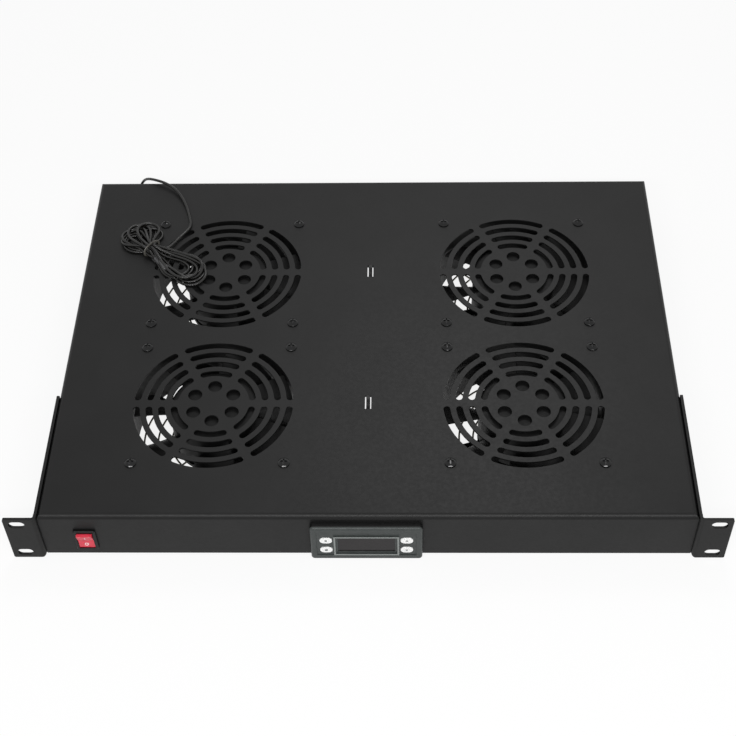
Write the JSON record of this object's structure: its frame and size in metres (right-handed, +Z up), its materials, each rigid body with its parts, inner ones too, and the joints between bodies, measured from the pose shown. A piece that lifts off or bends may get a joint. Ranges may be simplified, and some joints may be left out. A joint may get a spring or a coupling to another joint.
{
  "type": "rack fan tray",
  "caption": "One-unit rack fan tray: axial fans under laser-cut grilles, a panel thermostat, a rocker switch, bolted rack ears and a tied probe lead.",
  "frame": {"origin": "centre of the four rack slots, on the rear face of the ears", "axes": "+X right along the rack's width, +Y to the rear, into the rack, +Z up"},
  "size_m": [0.4826, 0.3464, 0.0529],
  "materials": {
    "black_coated_steel": "fine matte powder coat",
    "black_screw": "black zinc plating, glossy",
    "zinc_screw": "zinc plated",
    "black_cast_frame": "black coated die casting",
    "black_impeller": "moulded, satin",
    "plated_wire": "bright nickel plated wire",
    "ground_steel": "ground",
    "stator_stack": "varnished laminations with copper windings",
    "bezel_plastic": "fine texture",
    "window_plastic": "clear smoked pane over a dark display",
    "button_plastic": "satin",
    "case_plastic": "moulded",
    "board_laminate": "solder mask",
    "clip_plastic": "moulded",
    "terminal_plastic": "moulded",
    "switch_plastic": "satin",
    "rocker_plastic": "clear red",
    "tinned_brass": "tinned",
    "inlet_plastic": "moulded",
    "boot_rubber": "soft",
    "wire_jacket": "flexible vinyl",
    "probe_jacket": "flexible vinyl",
    "tie_plastic": "coated wire tie",
    "tip_plastic": "moulded sensor",
    "grommet_rubber": "soft"
  },
  "bodies": {
    "tray": {"tray_body": "black_coated_steel", "left_rack_bracket": "black_coated_steel", "right_rack_bracket": "black_coated_steel", "bracket_screws": "black_screw", "bracket_nuts": "zinc_screw", "fan_screws": "black_screw", "fan_nuts": "zinc_screw", "guard_screws": "zinc_screw", "guard_nuts": "zinc_screw", "front_left_fan_frame": "black_cast_frame", "front_left_stator": "stator_stack", "front_left_finger_guard": "plated_wire", "front_right_fan_frame": "black_cast_frame", "front_right_stator": "stator_stack", "front_right_finger_guard": "plated_wire", "rear_left_fan_frame": "black_cast_frame", "rear_left_stator": "stator_stack", "rear_left_finger_guard": "plated_wire", "rear_right_fan_frame": "black_cast_frame", "rear_right_stator": "stator_stack", "rear_right_finger_guard": "plated_wire", "fan_bearings": "ground_steel", "thermostat_bezel": "bezel_plastic", "thermostat_window": "window_plastic", "thermostat_case": "case_plastic", "thermostat_board": "board_laminate", "thermostat_clips": "clip_plastic", "thermostat_terminals": "terminal_plastic", "switch_body": "switch_plastic", "switch_terminals": "tinned_brass", "power_inlet": "inlet_plastic", "inlet_pins": "tinned_brass", "inlet_screws": "zinc_screw", "inlet_nuts": "zinc_screw", "inlet_boot": "boot_rubber", "mains_loom": "wire_jacket", "fan_leads": "wire_jacket", "switch_lead": "wire_jacket", "probe_inner_lead": "probe_jacket", "loom_clips": "clip_plastic", "probe_cord": "probe_jacket", "probe_hank": "probe_jacket", "hank_tie": "tie_plastic", "probe_tip": "tip_plastic", "probe_grommet": "grommet_rubber"},
    "front_left_rotor": {"front_left_impeller": "black_impeller", "front_left_shaft": "ground_steel"},
    "front_right_rotor": {"front_right_impeller": "black_impeller", "front_right_shaft": "ground_steel"},
    "rear_left_rotor": {"rear_left_impeller": "black_impeller", "rear_left_shaft": "ground_steel"},
    "rear_right_rotor": {"rear_right_impeller": "black_impeller", "rear_right_shaft": "ground_steel"},
    "rocker": {"switch_rocker": "rocker_plastic"},
    "upper_left_key": {"upper_left_button": "button_plastic"},
    "upper_right_key": {"upper_right_button": "button_plastic"},
    "lower_left_key": {"lower_left_button": "button_plastic"},
    "lower_right_key": {"lower_right_button": "button_plastic"}
  },
  "joints": [
    {"name": "front_left_spin", "type": "hinge", "parent": "tray", "child": "front_left_rotor", "pos_m": [-0.109, 0.0977, -0.0176], "axis": [0, 0, -1], "continuous": true},
    {"name": "front_right_spin", "type": "hinge", "parent": "tray", "child": "front_right_rotor", "pos_m": [0.109, 0.0977, -0.0176], "axis": [0, 0, -1], "continuous": true},
    {"name": "rear_left_spin", "type": "hinge", "parent": "tray", "child": "rear_left_rotor", "pos_m": [-0.109, 0.2265, -0.0176], "axis": [0, 0, -1], "continuous": true},
    {"name": "rear_right_spin", "type": "hinge", "parent": "tray", "child": "rear_right_rotor", "pos_m": [0.109, 0.2265, -0.0176], "axis": [0, 0, -1], "continuous": true},
    {"name": "rocker_rock", "type": "hinge", "parent": "tray", "child": "rocker", "pos_m": [-0.1897, 0.0004, -0.0042], "axis": [-1, 0, 0], "range_deg": [0, 18]},
    {"name": "upper_left_press", "type": "slide", "parent": "tray", "child": "upper_left_key", "axis": [0, 1, 0], "range_m": [0, 0.0005], "stiffness_N_per_m": 400},
    {"name": "upper_right_press", "type": "slide", "parent": "tray", "child": "upper_right_key", "axis": [0, 1, 0], "range_m": [0, 0.0005], "stiffness_N_per_m": 400},
    {"name": "lower_left_press", "type": "slide", "parent": "tray", "child": "lower_left_key", "axis": [0, 1, 0], "range_m": [0, 0.0005], "stiffness_N_per_m": 400},
    {"name": "lower_right_press", "type": "slide", "parent": "tray", "child": "lower_right_key", "axis": [0, 1, 0], "range_m": [0, 0.0005], "stiffness_N_per_m": 400}
  ]
}
